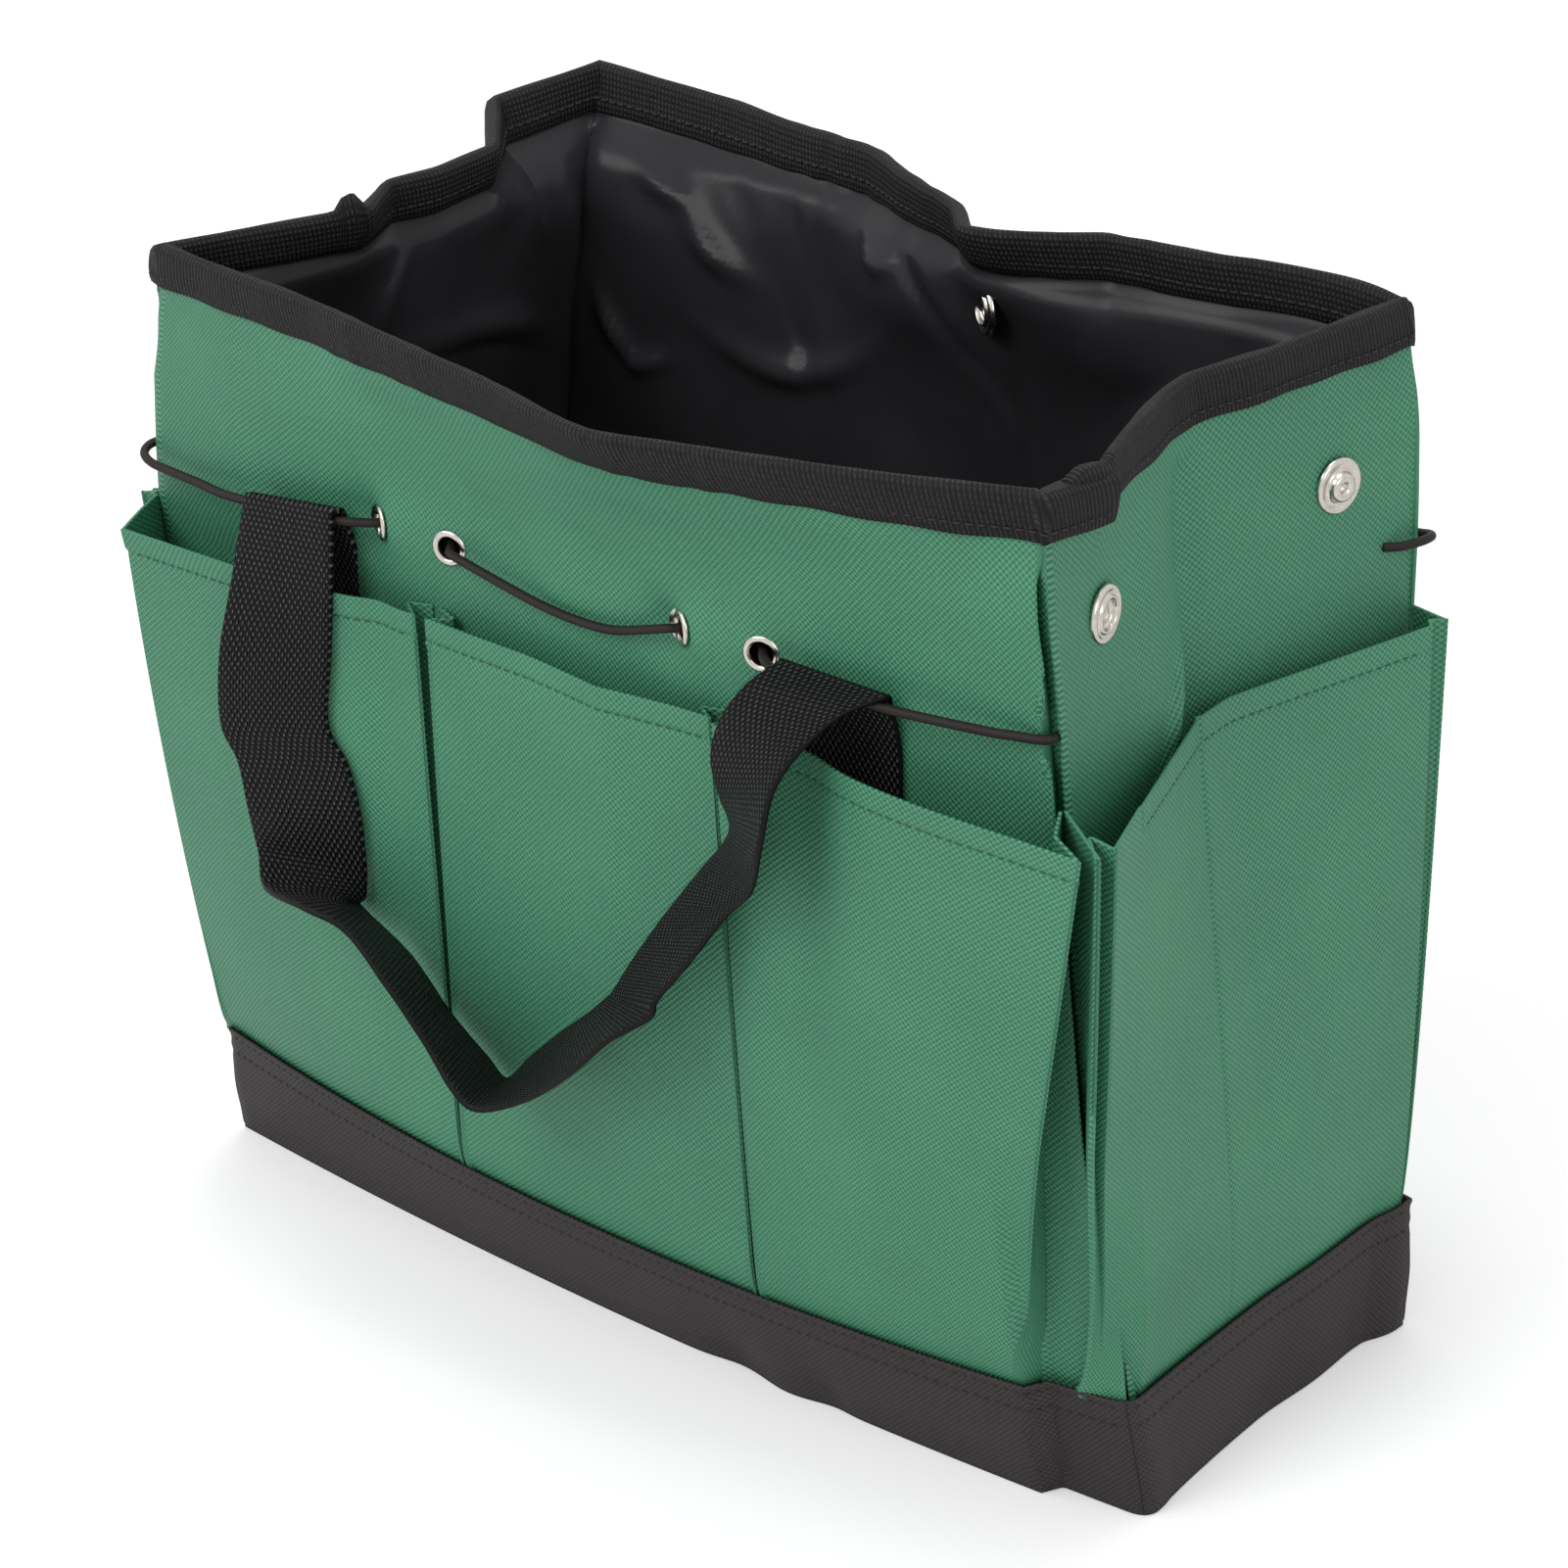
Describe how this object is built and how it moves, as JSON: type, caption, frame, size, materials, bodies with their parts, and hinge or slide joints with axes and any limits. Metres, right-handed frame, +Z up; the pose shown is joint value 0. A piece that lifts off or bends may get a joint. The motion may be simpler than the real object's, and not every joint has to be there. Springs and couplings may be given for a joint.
{
  "type": "garden tool bag",
  "caption": "Open soft tote for garden hand tools, with bellows pockets all round, elastic tool cords, press studs that fold the sides in, and webbing carrying handles.",
  "frame": {"origin": "middle of the underside of the base panel", "axes": "+Z up out of the mouth, +X along the length of the bag, -Y towards the front"},
  "size_m": [0.3254, 0.2247, 0.284],
  "materials": {
    "green_oxford": "coated woven polyester, mid green",
    "band_oxford": "coated woven polyester, black",
    "satin_lining": "glossy black satin",
    "rim_tape": "ribbed black tape",
    "webbing": "herringbone woven black webbing",
    "elastic_cord": "braided black elastic cord",
    "nickel": "bright nickel plate"
  },
  "bodies": {
    "bag": {"front_panel": "green_oxford", "back_panel": "green_oxford", "left_side_panel": "green_oxford", "right_side_panel": "green_oxford", "base_panel": "band_oxford", "front_band": "band_oxford", "back_band": "band_oxford", "left_band": "band_oxford", "right_band": "band_oxford", "front_lining": "satin_lining", "back_lining": "satin_lining", "left_lining": "satin_lining", "right_lining": "satin_lining", "floor_lining": "satin_lining", "front_rim_tape": "rim_tape", "back_rim_tape": "rim_tape", "front_left_pocket": "green_oxford", "front_middle_pocket": "green_oxford", "front_right_pocket": "green_oxford", "back_left_pocket": "green_oxford", "back_middle_pocket": "green_oxford", "back_right_pocket": "green_oxford", "left_side_pocket": "green_oxford", "right_side_pocket": "green_oxford", "front_eyelets": "nickel", "back_eyelets": "nickel", "front_eyelet_washers": "nickel", "back_eyelet_washers": "nickel", "front_cord": "elastic_cord", "back_cord": "elastic_cord", "left_stud_socket": "nickel", "left_stud_post": "nickel", "right_stud_socket": "nickel", "right_stud_post": "nickel", "side_stud_caps": "nickel", "closure_socket": "nickel", "closure_post": "nickel", "closure_backings": "nickel", "front_handle_ends": "webbing", "back_handle_ends": "webbing"},
    "front_handle": {"front_handle": "webbing"},
    "back_handle": {"back_handle": "webbing"}
  },
  "joints": [
    {"name": "front_handle_swing", "type": "hinge", "parent": "bag", "child": "front_handle", "pos_m": [0, -0.08506, 0.221], "axis": [-1, 0, 0], "range_deg": [0, 140]},
    {"name": "back_handle_swing", "type": "hinge", "parent": "bag", "child": "back_handle", "pos_m": [0, 0.08072, 0.221], "axis": [1, 0, 0], "range_deg": [0, 140]}
  ]
}
